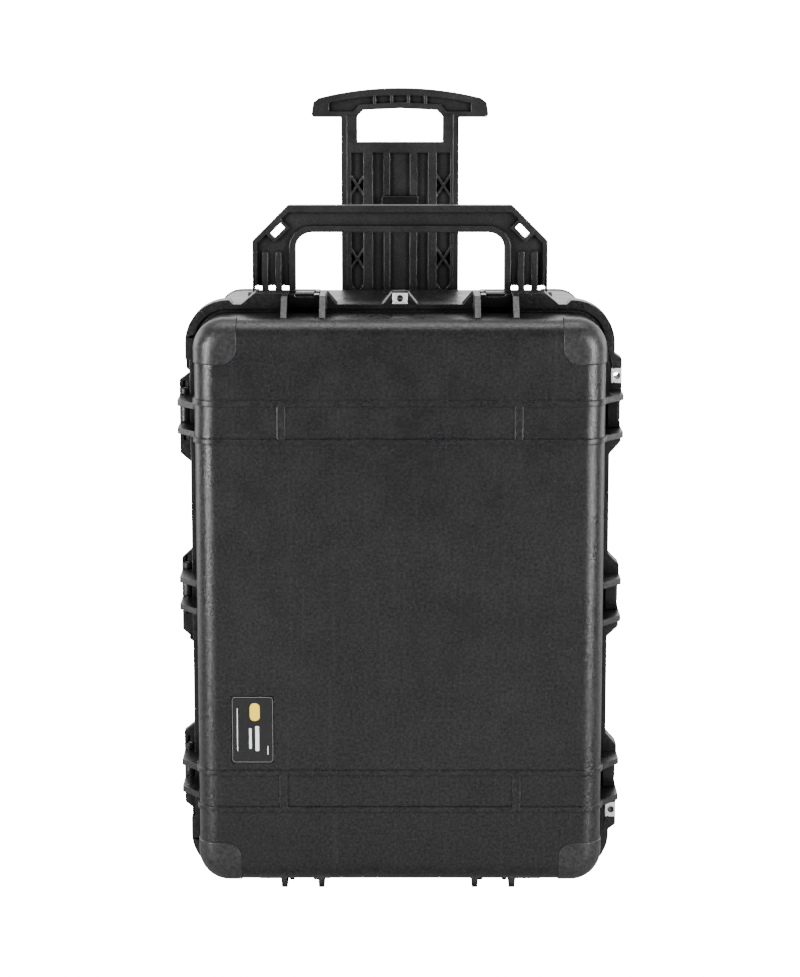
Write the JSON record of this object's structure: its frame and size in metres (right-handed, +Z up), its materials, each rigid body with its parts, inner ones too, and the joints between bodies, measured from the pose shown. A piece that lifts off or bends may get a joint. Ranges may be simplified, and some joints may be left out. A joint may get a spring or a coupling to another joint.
{
  "type": "hard equipment case",
  "caption": "Upright rolling protective case: ribbed shells, hinged lid, draw latches, folding grab handle, sliding trolley handle and wheels at the back bottom edge.",
  "frame": {"origin": "middle of the outside box, on the floor", "axes": "+Z up, lid faces -Y, hinges at -X, latches at +X"},
  "size_m": [0.587, 0.495, 1.059],
  "materials": {
    "case_plastic": "finely stippled moulded polypropylene",
    "handle_plastic": "smoother moulded plastic",
    "latch_plastic": "glossy moulded plastic",
    "steel": "stainless steel",
    "seal_rubber": "soft",
    "tyre": "polyurethane",
    "label": "glossy printed film"
  },
  "bodies": {
    "base": {"base_shell": "case_plastic", "hinge_pins": "steel", "latch_base_pins": "steel", "hasp_plates_base": "steel", "handle_pins": "steel", "valve_body": "latch_plastic", "valve_cap": "latch_plastic", "wheel_housing_left": "handle_plastic", "wheel_housing_right": "handle_plastic", "wheel_axles": "steel", "trolley_channel": "handle_plastic", "channel_screws": "steel"},
    "lid": {"lid_shell": "case_plastic", "lid_seal": "seal_rubber", "hasp_plates_lid": "steel", "nameplate": "label"},
    "latch_right_upper": {"latch_arm_right_upper": "latch_plastic", "latch_pin_right_upper": "steel"},
    "lever_right_upper": {"latch_lever_right_upper": "latch_plastic"},
    "latch_right_middle": {"latch_arm_right_middle": "latch_plastic", "latch_pin_right_middle": "steel"},
    "lever_right_middle": {"latch_lever_right_middle": "latch_plastic"},
    "latch_right_lower": {"latch_arm_right_lower": "latch_plastic", "latch_pin_right_lower": "steel"},
    "lever_right_lower": {"latch_lever_right_lower": "latch_plastic"},
    "latch_top_left": {"latch_arm_top_left": "latch_plastic", "latch_pin_top_left": "steel"},
    "lever_top_left": {"latch_lever_top_left": "latch_plastic"},
    "latch_top_right": {"latch_arm_top_right": "latch_plastic", "latch_pin_top_right": "steel"},
    "lever_top_right": {"latch_lever_top_right": "latch_plastic"},
    "latch_bottom_left": {"latch_arm_bottom_left": "latch_plastic", "latch_pin_bottom_left": "steel"},
    "lever_bottom_left": {"latch_lever_bottom_left": "latch_plastic"},
    "latch_bottom_right": {"latch_arm_bottom_right": "latch_plastic", "latch_pin_bottom_right": "steel"},
    "lever_bottom_right": {"latch_lever_bottom_right": "latch_plastic"},
    "grab_handle": {"grab_handle": "handle_plastic"},
    "trolley": {"trolley_handle": "handle_plastic"},
    "catch": {"trolley_catch": "latch_plastic"},
    "wheel_left_outer": {"tyre_left_outer": "tyre", "hub_left_outer": "handle_plastic", "bearing_left_outer": "steel"},
    "wheel_left_inner": {"tyre_left_inner": "tyre", "hub_left_inner": "handle_plastic", "bearing_left_inner": "steel"},
    "wheel_right_inner": {"tyre_right_inner": "tyre", "hub_right_inner": "handle_plastic", "bearing_right_inner": "steel"},
    "wheel_right_outer": {"tyre_right_outer": "tyre", "hub_right_outer": "handle_plastic", "bearing_right_outer": "steel"}
  },
  "joints": [
    {"name": "lid_hinge", "type": "hinge", "parent": "base", "child": "lid", "pos_m": [-0.2855, -0.134, 0.4045], "axis": [0, 0, -1], "range_deg": [0, 100]},
    {"name": "latch_right_upper_swing", "type": "hinge", "parent": "base", "child": "latch_right_upper", "pos_m": [0.2815, -0.094, 0.648], "axis": [0, 0, 1], "range_deg": [0, 85]},
    {"name": "lever_right_upper_throw", "type": "hinge", "parent": "latch_right_upper", "child": "lever_right_upper", "pos_m": [0.2877, -0.136, 0.648], "axis": [0, 0, -1], "range_deg": [0, 70]},
    {"name": "latch_right_middle_swing", "type": "hinge", "parent": "base", "child": "latch_right_middle", "pos_m": [0.2815, -0.094, 0.401], "axis": [0, 0, 1], "range_deg": [0, 85]},
    {"name": "lever_right_middle_throw", "type": "hinge", "parent": "latch_right_middle", "child": "lever_right_middle", "pos_m": [0.2877, -0.136, 0.401], "axis": [0, 0, -1], "range_deg": [0, 70]},
    {"name": "latch_right_lower_swing", "type": "hinge", "parent": "base", "child": "latch_right_lower", "pos_m": [0.2815, -0.094, 0.154], "axis": [0, 0, 1], "range_deg": [0, 85]},
    {"name": "lever_right_lower_throw", "type": "hinge", "parent": "latch_right_lower", "child": "lever_right_lower", "pos_m": [0.2877, -0.136, 0.154], "axis": [0, 0, -1], "range_deg": [0, 70]},
    {"name": "latch_top_left_swing", "type": "hinge", "parent": "base", "child": "latch_top_left", "pos_m": [-0.126, -0.094, 0.794], "axis": [-1, 0, 0], "range_deg": [0, 85]},
    {"name": "lever_top_left_throw", "type": "hinge", "parent": "latch_top_left", "child": "lever_top_left", "pos_m": [-0.126, -0.136, 0.8002], "axis": [1, 0, 0], "range_deg": [0, 70]},
    {"name": "latch_top_right_swing", "type": "hinge", "parent": "base", "child": "latch_top_right", "pos_m": [0.126, -0.094, 0.794], "axis": [-1, 0, 0], "range_deg": [0, 85]},
    {"name": "lever_top_right_throw", "type": "hinge", "parent": "latch_top_right", "child": "lever_top_right", "pos_m": [0.126, -0.136, 0.8002], "axis": [1, 0, 0], "range_deg": [0, 70]},
    {"name": "latch_bottom_left_swing", "type": "hinge", "parent": "base", "child": "latch_bottom_left", "pos_m": [-0.131, -0.094, 0.012], "axis": [1, 0, 0], "range_deg": [0, 85]},
    {"name": "lever_bottom_left_throw", "type": "hinge", "parent": "latch_bottom_left", "child": "lever_bottom_left", "pos_m": [-0.131, -0.136, 0.0058], "axis": [-1, 0, 0], "range_deg": [0, 70]},
    {"name": "latch_bottom_right_swing", "type": "hinge", "parent": "base", "child": "latch_bottom_right", "pos_m": [0.126, -0.094, 0.012], "axis": [1, 0, 0], "range_deg": [0, 85]},
    {"name": "lever_bottom_right_throw", "type": "hinge", "parent": "latch_bottom_right", "child": "lever_bottom_right", "pos_m": [0.126, -0.136, 0.0058], "axis": [-1, 0, 0], "range_deg": [0, 70]},
    {"name": "grab_handle_fold", "type": "hinge", "parent": "base", "child": "grab_handle", "pos_m": [0, -0.066, 0.79], "axis": [-1, 0, 0], "range_deg": [0, 90]},
    {"name": "trolley_slide", "type": "slide", "parent": "base", "child": "trolley", "axis": [0, 0, 1], "range_m": [-0.29, 0]},
    {"name": "catch_press", "type": "slide", "parent": "trolley", "child": "catch", "axis": [0, 1, 0], "range_m": [0, 0.0025], "stiffness_N_per_m": 600},
    {"name": "wheel_left_outer_spin", "type": "hinge", "parent": "base", "child": "wheel_left_outer", "pos_m": [-0.2075, 0.2105, 0.037], "axis": [1, 0, 0], "continuous": true},
    {"name": "wheel_left_inner_spin", "type": "hinge", "parent": "base", "child": "wheel_left_inner", "pos_m": [-0.1745, 0.2105, 0.037], "axis": [1, 0, 0], "continuous": true},
    {"name": "wheel_right_inner_spin", "type": "hinge", "parent": "base", "child": "wheel_right_inner", "pos_m": [0.1745, 0.2105, 0.037], "axis": [1, 0, 0], "continuous": true},
    {"name": "wheel_right_outer_spin", "type": "hinge", "parent": "base", "child": "wheel_right_outer", "pos_m": [0.2075, 0.2105, 0.037], "axis": [1, 0, 0], "continuous": true}
  ]
}
